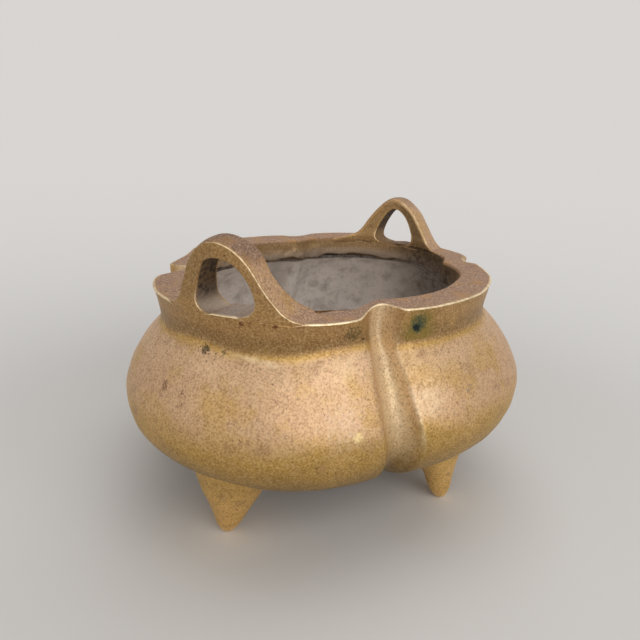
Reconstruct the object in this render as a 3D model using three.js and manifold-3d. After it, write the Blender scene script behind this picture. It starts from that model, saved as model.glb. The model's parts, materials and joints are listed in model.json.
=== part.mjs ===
// Lobed bronze incense burner with two loop handles, in millimetres, +Z up.
// Four rounded lobes meet in four upright grooves on the diagonals. The longer axis is X, and the handles
// stand on its two ends. A cone-shaped foot stands under the middle of each lobe, on the plane z = 0.
import * as THREE from "three";
import { mergeVertices } from "three/addons/utils/BufferGeometryUtils.js";
import Module from "manifold-3d";

const wasm = await Module();
wasm.setup();

// Heights above the table
const FLOOR_UNDER = 12;
const FLOOR_TOP = 17;
const BELLY_WIDEST = 38.5;
const NECK_FOOT = 56;
const RIM_TOP = 67;

// Plan outlines. halfX and halfY reach the middles of the lobes, and lobeX and lobeY are the lobes' radii.
// Each groove has a depth, a half width and an edge power: near 1 its edges are crisp, at 2 they are soft.
const BELLY = { halfX: 68.8, halfY: 60.2, lobeX: 45.5, lobeY: 55.5, depth: 4, halfWidth: 8, edge: 1.3 };
const CAVITY = { halfX: 64, halfY: 55.4, lobeX: 41.5, lobeY: 51.5, depth: 4, halfWidth: 9, edge: 1.5 };
const NECK = { halfX: 59.6, halfY: 47.4, lobeX: 34.5, lobeY: 49.5, depth: 5, halfWidth: 7, edge: 1.8 };
const RIM = { halfX: 61.5, halfY: 49, lobeX: 35, lobeY: 50.5, depth: 5.5, halfWidth: 7, edge: 2 };
const MOUTH = { halfX: 51, halfY: 39, lobeX: 29.5, lobeY: 40.5, depth: 2, halfWidth: 7, edge: 1.8 };

// Side profile of the bowl
const SHOULDER_ROUNDNESS = 1.65;
const UNDERSIDE_ROUNDNESS = 2.4;
const FLAT_SHARE = 0.25;
const GROOVE_FADE_SHARE = 0.75;
const NECK_FLARE = 1.25;

// The bowl's lip stands inside the neck. Shares are measured across the neck's wall, from the inside.
const LIP_HEIGHT = 2;
const LIP_SHARE = 0.42;
const REBATE_SHARE = 0.49;
const SHOULDER_DROP = 1.5;
const JOINT_GAP = 0.3;

// Handles. They stand a little off the long axis, as hand work does, and one is lower.
const HANDLES = [
  { name: "handle_right", angle: 0, middleY: 1.2, height: 15.2 },
  { name: "handle_left", angle: Math.PI, middleY: -5.4, height: 17 },
];
const HANDLE_THICKNESS = 9.6;
const HANDLE_LEAN = 0.2;
const TENON = { across: 4, through: 3.5, deep: 3.5, root: 1, apart: 9.5, inset: 5.4 };

// Half of a handle's front as Bezier points, from the foot to the top. Each point is given across from the
// middle, in millimetres, and up from the rim, as a share of the handle's height.
const ARCH_OUTSIDE = [[16.5, 0], [13, 0.03], [11.6, 0.28], [10.2, 0.45], [8.6, 0.64], [7, 1], [0, 1]];
const ARCH_OPENING = [[4.4, 0], [8.2, 0], [7.8, 0.26], [7.3, 0.42], [6.6, 0.65], [4.8, 0.78], [0, 0.78]];

// Feet, placed by the middle of each tip. They stand a little clockwise of the lobes' middles.
const FOOT_REACH_X = 50;
const FOOT_REACH_Y = 43.5;
const FOOT_TURN = THREE.MathUtils.degToRad(-2.5);
const FOOT_LEAN = 0.2;
const FOOT_PROFILE = [
  [0, 1.1], [0.5, 1.9], [1.5, 2.6], [4, 4], [8, 5.8], [12, 7.6], [16, 9.2], [20, 10.8], [24, 11.4],
];
const SPIGOT_RADIUS = 3;
const SPIGOT_SHIFT = 3.2;
const SPIGOT_TOP = 20.4;
const SPIGOT_BOTTOM = 10;

// Facets
const LOBE_STEPS = 5;
const GROOVE_STEPS = 10;
const SHOULDER_ROWS = 8;
const UNDERSIDE_ROWS = 9;
const NECK_ROWS = 4;
const FOOT_SIDES = 20;
const PEG_SIDES = 20;
const ARCH_STEPS = 8;

const QUARTER = Math.PI / 2;
const DIAGONAL = Math.PI / 4;

// Distance from the upright axis to a lobe's circle, at an angle from that lobe's middle
function lobeReach(angle, half, radius) {
  const centre = half - radius;
  return centre * Math.cos(angle) + Math.sqrt(radius ** 2 - (centre * Math.sin(angle)) ** 2);
}

function grooveHalfAngle(outline) {
  return outline.halfWidth / lobeReach(DIAGONAL, outline.halfX, outline.lobeX);
}

// Reach of an outline at an angle from the X axis, within one quarter
function outlineReach(outline, angle, grooveShare) {
  const reachX = lobeReach(angle, outline.halfX, outline.lobeX);
  const reachY = lobeReach(QUARTER - angle, outline.halfY, outline.lobeY);
  const offset = (angle - DIAGONAL) / grooveHalfAngle(outline);
  if (Math.abs(offset) >= 1) return offset < 0 ? reachX : reachY;
  const share = THREE.MathUtils.smoothstep(offset, -1, 1);
  const cut = outline.depth * grooveShare * (1 - offset ** 2) ** outline.edge;
  return THREE.MathUtils.lerp(reachX, reachY, share) - cut;
}

// Angles of one quarter, with more of them in the groove than in the lobes
function quarterAngles(outline) {
  const grooveStart = DIAGONAL - grooveHalfAngle(outline);
  const grooveEnd = DIAGONAL + grooveHalfAngle(outline);
  const angles = [];
  for (let i = 0; i < LOBE_STEPS; i++) angles.push((grooveStart * i) / LOBE_STEPS);
  for (let i = 0; i < GROOVE_STEPS; i++) {
    angles.push(THREE.MathUtils.lerp(grooveStart, grooveEnd, i / GROOVE_STEPS));
  }
  for (let i = 0; i < LOBE_STEPS; i++) {
    angles.push(THREE.MathUtils.lerp(grooveEnd, QUARTER, i / LOBE_STEPS));
  }
  return angles;
}

// A closed ring of points along an outline, counter-clockwise from above
function ring(outline, z, scale = 1, grooveShare = 1) {
  const points = [];
  for (let quarter = 0; quarter < 4; quarter++) {
    for (const turn of quarterAngles(outline)) {
      const folded = quarter % 2 === 0 ? turn : QUARTER - turn;
      const reach = scale * outlineReach(outline, folded, grooveShare);
      const angle = quarter * QUARTER + turn;
      points.push(new THREE.Vector3(reach * Math.cos(angle), reach * Math.sin(angle), z));
    }
  }
  return points;
}

function ringBetween(inner, outer, share, z) {
  return inner.map((point, i) => point.clone().lerp(outer[i], share).setZ(z));
}

function lifted(points, z) {
  return points.map((point) => point.clone().setZ(z));
}

function grown(outline, by) {
  return {
    ...outline,
    halfX: outline.halfX + by,
    halfY: outline.halfY + by,
    lobeX: outline.lobeX + by,
    lobeY: outline.lobeY + by,
  };
}

// Skin over a row of rings. A closed row joins its last ring to its first, and an open one has flat ends.
function loft(rings, closed = false) {
  const positions = rings.flat().flatMap((point) => point.toArray());
  const count = rings[0].length;
  const index = [];
  const bands = closed ? rings.length : rings.length - 1;
  for (let i = 0; i < bands; i++) {
    const low = i * count;
    const high = ((i + 1) % rings.length) * count;
    for (let j = 0; j < count; j++) {
      const next = (j + 1) % count;
      index.push(low + j, low + next, high + next);
      index.push(low + j, high + next, high + j);
    }
  }
  if (!closed) {
    for (const [start, flip] of [[0, true], [(rings.length - 1) * count, false]]) {
      const middle = positions.length / 3;
      const centre = new THREE.Vector3();
      for (const point of rings[start / count]) centre.addScaledVector(point, 1 / count);
      positions.push(...centre.toArray());
      for (let j = 0; j < count; j++) {
        const [a, b] = [start + j, start + ((j + 1) % count)];
        index.push(middle, flip ? b : a, flip ? a : b);
      }
    }
  }
  const geometry = new THREE.BufferGeometry();
  geometry.setAttribute("position", new THREE.Float32BufferAttribute(positions, 3));
  geometry.setIndex(index);
  return geometry;
}

function toSolid(geometry) {
  const bare = geometry.clone();
  bare.deleteAttribute("normal");
  bare.deleteAttribute("uv");
  const merged = mergeVertices(bare, 1e-5);
  return new wasm.Manifold(
    new wasm.Mesh({
      numProp: 3,
      vertProperties: new Float32Array(merged.attributes.position.array),
      triVerts: new Uint32Array(merged.index.array),
    }),
  );
}

function toGeometry(solid) {
  const { vertProperties, triVerts } = solid.getMesh();
  const geometry = new THREE.BufferGeometry();
  geometry.setAttribute("position", new THREE.Float32BufferAttribute(vertProperties, 3));
  geometry.setIndex(Array.from(triVerts));
  geometry.computeVertexNormals();
  return geometry;
}

function box(sizeX, sizeY, lowZ, highZ, x, y) {
  const geometry = new THREE.BoxGeometry(sizeX, sizeY, highZ - lowZ);
  return toSolid(geometry.translate(x, y, (lowZ + highZ) / 2));
}

function peg(radius, lowZ, highZ, x, y) {
  const geometry = new THREE.CylinderGeometry(radius, radius, highZ - lowZ, PEG_SIDES);
  return toSolid(geometry.rotateX(QUARTER).translate(x, y, (lowZ + highZ) / 2));
}

// Share of the way out and of the way up on a rounded corner, for a roundness power
function roundedShare(along, roundness) {
  return (1 - along ** roundness) ** (1 / roundness);
}

// Rings from the upper outline out and down to the widest one
function shoulderRings(upper, upperZ, widest) {
  const top = ring(upper, upperZ);
  const wide = ring(widest, BELLY_WIDEST);
  const rings = [];
  for (let i = 0; i <= SHOULDER_ROWS; i++) {
    const up = Math.cos((QUARTER * i) / SHOULDER_ROWS);
    const z = THREE.MathUtils.lerp(BELLY_WIDEST, upperZ, up);
    rings.push(ringBetween(top, wide, roundedShare(up, SHOULDER_ROUNDNESS), z));
  }
  return rings;
}

// Rings from below the widest outline in and down to a flat middle, where the grooves fade out
function undersideRings(widest, bottomZ) {
  const rings = [];
  const power = 2 / UNDERSIDE_ROUNDNESS;
  const lastAngle = Math.acos(FLAT_SHARE ** (1 / power));
  for (let i = 1; i <= UNDERSIDE_ROWS; i++) {
    const angle = (lastAngle * i) / UNDERSIDE_ROWS;
    const scale = Math.cos(angle) ** power;
    const down = i < UNDERSIDE_ROWS ? Math.sin(angle) ** power : 1;
    const z = THREE.MathUtils.lerp(BELLY_WIDEST, bottomZ, down);
    const grooveShare = THREE.MathUtils.smoothstep(scale, FLAT_SHARE, GROOVE_FADE_SHARE);
    rings.push(ring(widest, z, scale, grooveShare));
  }
  return rings;
}

function bowlOutside(gap = 0) {
  const shoulder = shoulderRings(grown(NECK, gap), NECK_FOOT, grown(BELLY, gap));
  return [...undersideRings(grown(BELLY, gap), FLOOR_UNDER - gap).reverse(), ...shoulder.reverse()];
}

function footPlaces() {
  return [
    { name: "foot_right", angle: FOOT_TURN, reach: FOOT_REACH_X },
    { name: "foot_rear", angle: QUARTER + FOOT_TURN, reach: FOOT_REACH_Y },
    { name: "foot_left", angle: 2 * QUARTER + FOOT_TURN, reach: FOOT_REACH_X },
    { name: "foot_front", angle: 3 * QUARTER + FOOT_TURN, reach: FOOT_REACH_Y },
  ];
}

// Four-lobed bowl with an even wall, a lip that locates the neck, and a blind socket over each foot
function makeBowl() {
  const lipTop = NECK_FOOT + LIP_HEIGHT;
  const mouth = ring(MOUTH, NECK_FOOT);
  const lipSide = ringBetween(mouth, ring(NECK, NECK_FOOT), LIP_SHARE, NECK_FOOT);
  let bowl = toSolid(loft([
    ...bowlOutside(),
    lipSide,
    lifted(lipSide, lipTop),
    ring(MOUTH, lipTop),
    ...shoulderRings(MOUTH, NECK_FOOT - SHOULDER_DROP, CAVITY),
    ...undersideRings(CAVITY, FLOOR_TOP),
  ]));
  for (const { angle, reach } of footPlaces()) {
    const out = reach - SPIGOT_SHIFT;
    const [x, y] = [out * Math.cos(angle), out * Math.sin(angle)];
    bowl = bowl.subtract(peg(SPIGOT_RADIUS + JOINT_GAP, 0, SPIGOT_TOP + JOINT_GAP, x, y));
  }
  return toGeometry(bowl);
}

// A handle's middle as seen in its own frame, which is turned so that the handle stands at the +X end
function sideways({ angle, middleY }) {
  return Math.cos(angle) * middleY;
}

// Middles of a handle's two tenons in that frame
function tenonPlaces(place) {
  return [-TENON.apart, TENON.apart].map((leg) => {
    const y = sideways(place) + leg;
    const edge = RIM.halfX - RIM.lobeX + Math.sqrt(RIM.lobeX ** 2 - y ** 2);
    return [edge - TENON.inset, y];
  });
}

// Flared neck with a flat rim, a rebate under it for the bowl's lip, and two mortises for each handle
function makeNeck() {
  const foot = ring(NECK, NECK_FOOT);
  const rim = ring(RIM, RIM_TOP);
  const mouth = ring(MOUTH, RIM_TOP);
  const bottom = NECK_FOOT + JOINT_GAP;
  const rebateTop = bottom + LIP_HEIGHT;
  const rings = [];
  for (let i = 0; i <= NECK_ROWS; i++) {
    const up = i / NECK_ROWS;
    rings.push(ringBetween(foot, rim, up ** NECK_FLARE, THREE.MathUtils.lerp(bottom, RIM_TOP, up)));
  }
  rings.push(mouth, lifted(mouth, rebateTop));
  for (const z of [rebateTop, bottom]) rings.push(ringBetween(mouth, foot, REBATE_SHARE, z));
  let neck = toSolid(loft(rings, true));
  for (const place of HANDLES) {
    for (const [x, y] of tenonPlaces(place)) {
      const across = TENON.across + 2 * JOINT_GAP;
      const through = TENON.through + 2 * JOINT_GAP;
      const low = RIM_TOP - TENON.deep - JOINT_GAP;
      const side = Math.cos(place.angle);
      neck = neck.subtract(box(through, across, low, RIM_TOP + 1, side * x, side * y));
    }
  }
  return toGeometry(neck);
}

// Front of a handle: an arch whose legs spread at their feet
function archShape(height) {
  const arch = new THREE.Shape();
  arch.moveTo(ARCH_OUTSIDE[0][0], 0);
  for (const [path, sides] of [[ARCH_OUTSIDE, [1, -1]], [ARCH_OPENING, [-1, 1]]]) {
    const points = path.map(([across, up]) => [sides[0] * across, up * height]);
    const back = path.map(([across, up]) => [sides[1] * across, up * height]).reverse();
    arch.lineTo(...points[0]);
    for (const half of [points, back]) {
      for (let i = 1; i < half.length; i += 3) {
        arch.bezierCurveTo(...half[i], ...half[i + 1], ...half[i + 2]);
      }
    }
  }
  arch.closePath();
  return arch;
}

// Loop handle, made at the +X end. Its faces follow the rim's curve and lean out as the neck's flare does.
function makeHandle(place) {
  const acrossRim = new THREE.Matrix4().makeBasis(
    new THREE.Vector3(0, 1, 0), new THREE.Vector3(0, 0, 1), new THREE.Vector3(1, 0, 0),
  );
  const archStart = RIM.halfX - 2 * HANDLE_THICKNESS;
  const archDepth = 3 * HANDLE_THICKNESS;
  const arch = new THREE.ExtrudeGeometry(archShape(place.height), {
    depth: archDepth, bevelEnabled: false, curveSegments: ARCH_STEPS,
  });
  arch.applyMatrix4(acrossRim).translate(archStart, sideways(place), RIM_TOP);
  const low = RIM_TOP + JOINT_GAP;
  const high = RIM_TOP + place.height + 1;
  const lean = HANDLE_LEAN * (high - low);
  const wall = toSolid(loft([
    ring(RIM, low),
    ring(grown(RIM, lean), high),
    ring(grown(RIM, lean - HANDLE_THICKNESS), high),
    ring(grown(RIM, -HANDLE_THICKNESS), low),
  ], true));
  let handle = toSolid(arch).intersect(wall);
  for (const [x, y] of tenonPlaces(place)) {
    const [bottom, top] = [RIM_TOP - TENON.deep, low + TENON.root];
    handle = handle.add(box(TENON.through, TENON.across, bottom, top, x, y));
  }
  return toGeometry(handle);
}

// Foot in its own frame, with its tip at the origin and +X pointing away from the bowl's axis.
// The cone leans in as it rises, meets the bowl's underside, and carries a spigot for the bowl's socket.
function makeFoot({ angle, reach }) {
  const rings = FOOT_PROFILE.map(([z, radius]) => {
    const points = [];
    for (let i = 0; i < FOOT_SIDES; i++) {
      const turn = (2 * Math.PI * i) / FOOT_SIDES;
      points.push(new THREE.Vector3(radius * Math.cos(turn) - FOOT_LEAN * z, radius * Math.sin(turn), z));
    }
    return points;
  });
  const bowlBlank = loft(bowlOutside(JOINT_GAP)).rotateZ(-angle).translate(-reach, 0, 0);
  const cone = toSolid(loft(rings)).subtract(toSolid(bowlBlank));
  return toGeometry(cone.add(peg(SPIGOT_RADIUS, SPIGOT_BOTTOM, SPIGOT_TOP, -SPIGOT_SHIFT, 0)));
}

function addPiece(group, name, geometry, material) {
  const mesh = new THREE.Mesh(geometry, material);
  mesh.name = name;
  group.add(mesh);
  return mesh;
}

const bellyBronze = new THREE.MeshStandardMaterial({ color: 0xa07a52, roughness: 0.45, metalness: 0.85 });
const neckBronze = new THREE.MeshStandardMaterial({ color: 0x8f6f3c, roughness: 0.42, metalness: 0.85 });
const handleBronze = new THREE.MeshStandardMaterial({ color: 0x86673a, roughness: 0.46, metalness: 0.85 });
const footBronze = new THREE.MeshStandardMaterial({ color: 0x9a763f, roughness: 0.48, metalness: 0.85 });

const censer = new THREE.Group();
addPiece(censer, "bowl", makeBowl(), bellyBronze);
addPiece(censer, "neck_rim", makeNeck(), neckBronze);

for (const place of HANDLES) {
  addPiece(censer, place.name, makeHandle(place), handleBronze).rotation.z = place.angle;
}

for (const place of footPlaces()) {
  const foot = addPiece(censer, place.name, makeFoot(place), footBronze);
  foot.position.set(place.reach * Math.cos(place.angle), place.reach * Math.sin(place.angle), 0);
  foot.rotation.z = place.angle;
}

export default censer;
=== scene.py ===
"""Lobed bronze incense burner: the looks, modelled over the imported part.

Sizes are in millimetres until they reach a mesh. The near handle is on -X and the photograph's right lobe on -Y.
"""

import json
import logging
import math
from dataclasses import dataclass
from enum import Enum, IntEnum
from typing import Optional

import bpy
import numpy as np
from mathutils import Matrix, Vector


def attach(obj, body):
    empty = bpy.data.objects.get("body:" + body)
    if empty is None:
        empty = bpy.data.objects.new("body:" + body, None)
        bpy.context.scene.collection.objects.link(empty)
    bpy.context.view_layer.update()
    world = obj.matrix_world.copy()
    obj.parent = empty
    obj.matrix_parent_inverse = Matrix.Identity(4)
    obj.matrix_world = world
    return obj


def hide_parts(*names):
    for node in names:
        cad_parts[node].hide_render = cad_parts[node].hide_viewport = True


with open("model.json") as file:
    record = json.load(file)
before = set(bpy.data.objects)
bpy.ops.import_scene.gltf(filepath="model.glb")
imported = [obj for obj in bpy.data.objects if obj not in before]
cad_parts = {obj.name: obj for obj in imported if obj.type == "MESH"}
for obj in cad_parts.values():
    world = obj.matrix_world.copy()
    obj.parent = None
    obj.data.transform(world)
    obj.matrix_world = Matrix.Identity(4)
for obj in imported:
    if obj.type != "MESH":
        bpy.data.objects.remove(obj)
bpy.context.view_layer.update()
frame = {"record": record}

LOG = logging.getLogger("burner")
MM = 0.001
QUARTER = math.pi / 2
DIAGONAL = math.pi / 4
NEAR_AXIS = QUARTER * 0.985


class End(Enum):
    """The two ends of the long axis, where the handles stand."""

    RIGHT = 1
    LEFT = -1


# Plan outlines and flutes


def smooth(value: np.ndarray, low: float, high: float) -> np.ndarray:
    """Smooth step from 0 at low to 1 at high."""
    share = np.clip((value - low) / (high - low), 0, 1)
    return share * share * (3 - 2 * share)


def bump(value: np.ndarray, middle: float, half: float) -> np.ndarray:
    """Smooth hump: 1 at the middle, 0 from half a width away."""
    return 0.5 * (1 + np.cos(math.pi * np.clip(np.abs(value - middle) / half, 0, 1)))


def folded(turn: np.ndarray) -> np.ndarray:
    """Angles from +X brought into the first quarter, because all four quarters are alike."""
    turn = np.abs(np.arctan2(np.sin(turn), np.cos(turn)))
    return np.minimum(turn, math.pi - turn)


def turned_from(turn: np.ndarray, middle: float) -> np.ndarray:
    """Degrees between angles and one direction, from -180 to 180."""
    return np.degrees(np.arctan2(np.sin(turn - math.radians(middle)), np.cos(turn - math.radians(middle))))


def turn_of(grid: np.ndarray) -> np.ndarray:
    """The angle at which each place lies about the upright axis."""
    return np.arctan2(grid[..., 1], grid[..., 0])


def facing(turn: np.ndarray, middle: float, half: float) -> np.ndarray:
    """Smooth hump over angles: 1 in one direction in degrees, 0 from half a width in degrees away."""
    return bump(turned_from(turn, middle), 0, half)


def rounded_out(up: np.ndarray, roundness: float) -> np.ndarray:
    """How far out a rounded wall still stands at a share of its height, from 1 at the start to 0 at the end."""
    return (1 - up**roundness) ** (1 / roundness)


def lobe_reach(turn: np.ndarray, half: float, radius: float) -> np.ndarray:
    """Distance from the upright axis to one lobe's circle, at angles from that lobe's middle."""
    centre = half - radius
    return centre * np.cos(turn) + np.sqrt(np.maximum(radius**2 - (centre * np.sin(turn)) ** 2, 1e-6))


@dataclass(frozen=True)
class Flutes:
    """The upright flutes between the lobes, by height.

    Each row holds a height, how far the flute's middle lies towards the Y lobe, its half widths on the X side and
    on the Y side, its depth, and the edge powers of both sides: near 1 is crisp, 2 is soft.
    """

    rows: tuple = (
        (12.0, 3.4, 5.2, 5.2, 3.6, 1.5, 1.5),
        (30.0, 3.3, 5.3, 5.4, 4.0, 1.4, 1.3),
        (34.0, 2.9, 5.3, 5.4, 4.2, 1.25, 1.12),
        (38.5, 2.0, 5.3, 5.3, 4.3, 1.12, 1.05),
        (43.0, 1.1, 5.2, 4.9, 4.3, 1.08, 1.03),
        (49.0, 0.3, 4.8, 4.3, 4.2, 1.08, 1.06),
        (53.0, 0.0, 4.4, 3.6, 4.2, 1.1, 1.15),
        (57.0, -0.4, 4.2, 3.1, 4.3, 1.2, 1.3),
        (61.0, -0.6, 5.6, 3.7, 5.2, 1.5, 1.5),
        (67.0, -0.3, 7.9, 4.9, 6.0, 1.6, 1.6),
    )

    def at(self, z: float) -> list:
        """The row at one height, without the height."""
        table = np.array(self.rows)
        return [float(np.interp(z, table[:, 0], table[:, k])) for k in range(1, 7)]


FLUTES = Flutes()


@dataclass(frozen=True)
class Outline:
    """One lobed plan outline: how far the lobes' middles reach, and the lobes' radii."""

    half_x: float
    half_y: float
    lobe_x: float
    lobe_y: float

    def reach(self, turn: np.ndarray, z: float, share: float = 1.0) -> np.ndarray:
        """Distance from the upright axis to the outline.

        Args:
            turn: Angles from +X.
            z: Height, which sets the flutes' size.
            share: Share of the flutes' full depth.

        Returns:
            One distance for each angle.
        """
        middle, wide_x, wide_y, depth, edge_x, edge_y = FLUTES.at(z)
        quarter = folded(turn)
        along_x = lobe_reach(quarter, self.half_x, self.lobe_x)
        along_y = lobe_reach(QUARTER - quarter, self.half_y, self.lobe_y)
        away = (quarter - DIAGONAL) * lobe_reach(np.array(DIAGONAL), self.half_x, self.lobe_x) - middle
        off = np.where(away < 0, away / wide_x, away / wide_y)
        cut = depth * share * np.maximum(1 - np.abs(off) ** FLUTE_ROUNDNESS, 0) ** np.where(away < 0, edge_x, edge_y)
        # The far and the right-hand flute are shallow in the rim
        shallow = 0.8 * facing(turn, 45, 20) + 0.7 * facing(turn, -45, 20)
        cut = cut * (1 - shallow * float(smooth(np.array(z), 55, 62)))
        return along_x + (along_y - along_x) * smooth(off, -1, 1) - cut


# Outlines and heights of the part, then the powers of its curves
BELLY = Outline(68.6, 60.0, 45.5, 55.5)
CAVITY = Outline(64.0, 55.4, 41.5, 51.5)
NECK = Outline(58.7, 47.3, 34.5, 49.5)
RIM = Outline(61.4, 48.9, 35.0, 50.5)
MOUTH = Outline(50.8, 38.8, 29.3, 40.3)

FLOOR_UNDER = 12.0
FLOOR_TOP = 17.0
BELLY_WIDEST = 38.5
NECK_FOOT = 56.9
RIM_TOP = 67.0
SEAM = 58.0
SHOULDER_ROUNDNESS = 1.5
SHOULDER_CUT = 0.86
UNDERSIDE_ROUNDNESS = 2.4
NECK_FLARE = 1.5
FLUTE_ROUNDNESS = 2.5
HANDLE_LEAN = 0.2

# Degrees above which an edge between faces stays sharp
BOWL_CREASE = 40
CREASE = 50

# Angles between which a flute's vertices lie, the reach at which its masks are measured, and the lumps' waves
FLUTE_FROM = DIAGONAL - 0.16
FLUTE_TO = DIAGONAL + 0.19
MASK_REACH = 56
WAVES = 9
WAVE_SPREAD = 3.2


def quarter_turns(lobe_steps: int, flute_steps: int) -> np.ndarray:
    """Angles all the way round, closer together in the flutes than in the lobes.

    Args:
        lobe_steps: Steps in each half lobe.
        flute_steps: Steps across each flute.

    Returns:
        Angles from +X, counter-clockwise, without the last one that would close the ring.
    """
    edges = [0.0, FLUTE_FROM, FLUTE_TO]
    ends = [FLUTE_FROM, FLUTE_TO, QUARTER]
    counts = [lobe_steps, flute_steps, lobe_steps]
    quarter = np.concatenate([np.linspace(a, b, n, endpoint=False) for a, b, n in zip(edges, ends, counts)])
    mirrored = QUARTER * 2 - np.concatenate([quarter, [QUARTER]])[::-1]
    half = np.concatenate([quarter, mirrored[:-1]])
    return np.concatenate([half, half + math.pi])


def unevenness(points: np.ndarray, wave: float, seed: int) -> np.ndarray:
    """A smooth field of gentle lumps, the same for every piece at the same place.

    Args:
        points: Places, one row each.
        wave: Typical length of a lump.
        seed: Which field.

    Returns:
        One value for each place, mostly between -1 and 1.
    """
    rng = np.random.default_rng(seed)
    total = np.zeros(len(points))
    for _ in range(WAVES):
        direction = rng.normal(size=3)
        direction *= 2 * math.pi / (wave * rng.uniform(0.6, 1.5)) / np.linalg.norm(direction)
        total += np.sin(points @ direction + rng.uniform(0, 2 * math.pi))
    return total / WAVE_SPREAD


# Where the rim has sunk: how far, in which direction, and how many degrees to either side
SAGS = ((1.3, -12, 32), (1.3, 5, 11), (1.1, -150, 22))


def rim_sag(turn: np.ndarray) -> np.ndarray:
    """How far the rim has sunk, at the front corner and over the far handle."""
    return sum(depth * facing(turn, middle, half) for depth, middle, half in SAGS)


def hand_made(points: np.ndarray) -> np.ndarray:
    """Bends places on the skin as the maker's hand left them.

    The rim sags a little, the neck rises from higher up beside the front flute, the rear lobe is narrower on its
    left, and the right-hand flute swings aside in the neck.

    Args:
        points: Places, one row each.

    Returns:
        The bent places.
    """
    moved = points.copy()
    turn = turn_of(points)
    z = points[:, 2]
    # The neck's foot rises on both sides of the front flute and behind the near handle
    front = turned_from(turn, -145)
    lift = 1.6 * np.where(front < 0, smooth(front, -19, 0), 1 - smooth(front, 1, 13))
    moved[:, 2] += (lift + 1.2 * facing(turn, 176, 11)) * bump(z, 56.9, 8.5)
    moved[:, 2] -= rim_sag(turn) * smooth(z, 57, 66.5)
    # The rear lobe's left side is pulled in, in the belly and again in the rim
    pull = 3.4 * facing(turn, 120, 26) * smooth(z, 26, 40) * (1 - smooth(z, 50, 58))
    pull += 3.0 * facing(turn, 114, 22) * smooth(z, 55, 63)
    level = np.hypot(points[:, 0], points[:, 1]) + 1e-9
    moved[:, :2] *= (1 - pull * smooth(level, 30, 45) / level)[:, None]
    # The right-hand flute swings aside in the neck
    swing = np.radians(-2.2) * facing(turn, -45, 17) * smooth(z, 50, 58)
    x, y = moved[:, 0].copy(), moved[:, 1].copy()
    moved[:, 0], moved[:, 1] = x * np.cos(swing) - y * np.sin(swing), x * np.sin(swing) + y * np.cos(swing)
    return moved


def mouth_reach(turn: np.ndarray, z: float) -> np.ndarray:
    """Distance to the mouth's edge, wider at the far handle and narrower where the near one's right leg ends."""
    wider = 1.7 * (1 - smooth(np.abs(turned_from(turn, 0)), 15, 27)) - 1.7 * facing(turn, -155, 17)
    return MOUTH.reach(turn, z, 0.2) + wider + 1.3 * facing(turn, -65, 22)


def mouth_edge(y: np.ndarray, side: int) -> np.ndarray:
    """How far along X the mouth's edge lies.

    Args:
        y: Places across.
        side: 1 for the far end, -1 for the near one.

    Returns:
        Distances from the upright axis along X.
    """
    x = np.full_like(y, 45.0)
    for _ in range(6):
        x = np.sqrt(np.maximum(mouth_reach(np.arctan2(y, side * x), 62.0) ** 2 - y**2, 1))
    return x


# Mesh helpers


def deselect_all() -> None:
    """Clears the selection, which an operator would act on."""
    if bpy.context.object and bpy.context.object.mode != "OBJECT":
        bpy.ops.object.mode_set(mode="OBJECT")
    bpy.ops.object.select_all(action="DESELECT")


def places(piece: bpy.types.Object) -> np.ndarray:
    """Reads the vertices of a piece.

    Args:
        piece: The piece.

    Returns:
        Their places in metres, one row each.
    """
    co = np.zeros(len(piece.data.vertices) * 3, np.float32)
    piece.data.vertices.foreach_get("co", co)
    return co.reshape(-1, 3).astype(float)


def put_places(piece: bpy.types.Object, places_mm: np.ndarray) -> None:
    """Moves the vertices of a piece to places in millimetres."""
    piece.data.vertices.foreach_set("co", (places_mm * MM).astype(np.float32).ravel())
    piece.data.update()


def ring_stack(name: str, grid: np.ndarray, low: np.ndarray, high: np.ndarray, marks: dict) -> bpy.types.Object:
    """A closed body of rings: an upright cylinder with fan-shaped ends, cut into rings that are then put in place.

    Args:
        name: The object's name.
        grid: Places in millimetres, as rings by sides by three.
        low: Middle of the first ring's end.
        high: Middle of the last ring's end.
        marks: Values from 0 to 1 for the material, by name, as rings by sides.

    Returns:
        The new object.
    """
    rings, sides = grid.shape[:2]
    deselect_all()
    bpy.ops.mesh.primitive_cylinder_add(vertices=sides, radius=1, depth=1, end_fill_type="TRIFAN", location=(0, 0, 0))
    piece = bpy.context.object
    piece.name = piece.data.name = name
    ends = np.zeros(len(piece.data.edges) * 2, np.int32)
    piece.data.edges.foreach_get("vertices", ends)
    co = places(piece)
    upright = np.abs(co[ends[0::2], 2] - co[ends[1::2], 2]) > 0.5
    bpy.ops.object.mode_set(mode="EDIT")
    bpy.ops.mesh.select_mode(type="EDGE")
    bpy.ops.mesh.select_all(action="DESELECT")
    bpy.ops.object.mode_set(mode="OBJECT")
    piece.data.edges.foreach_set("select", upright)
    bpy.ops.object.mode_set(mode="EDIT")
    bpy.ops.mesh.subdivide(number_cuts=rings - 2, smoothness=0)
    bpy.ops.object.mode_set(mode="OBJECT")
    co = places(piece)
    ring = np.clip(np.rint((co[:, 2] + 0.5) * (rings - 1)).astype(int), 0, rings - 1)
    side = np.rint(np.arctan2(co[:, 1], co[:, 0]) / (2 * math.pi) * sides).astype(int) % sides
    placed = grid[ring, side]
    middle = np.hypot(co[:, 0], co[:, 1]) < 0.5
    placed[middle & (co[:, 2] < 0)] = low
    placed[middle & (co[:, 2] > 0)] = high
    put_places(piece, placed)
    paint(piece, {key: values[ring, side] for key, values in marks.items()})
    return piece


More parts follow.
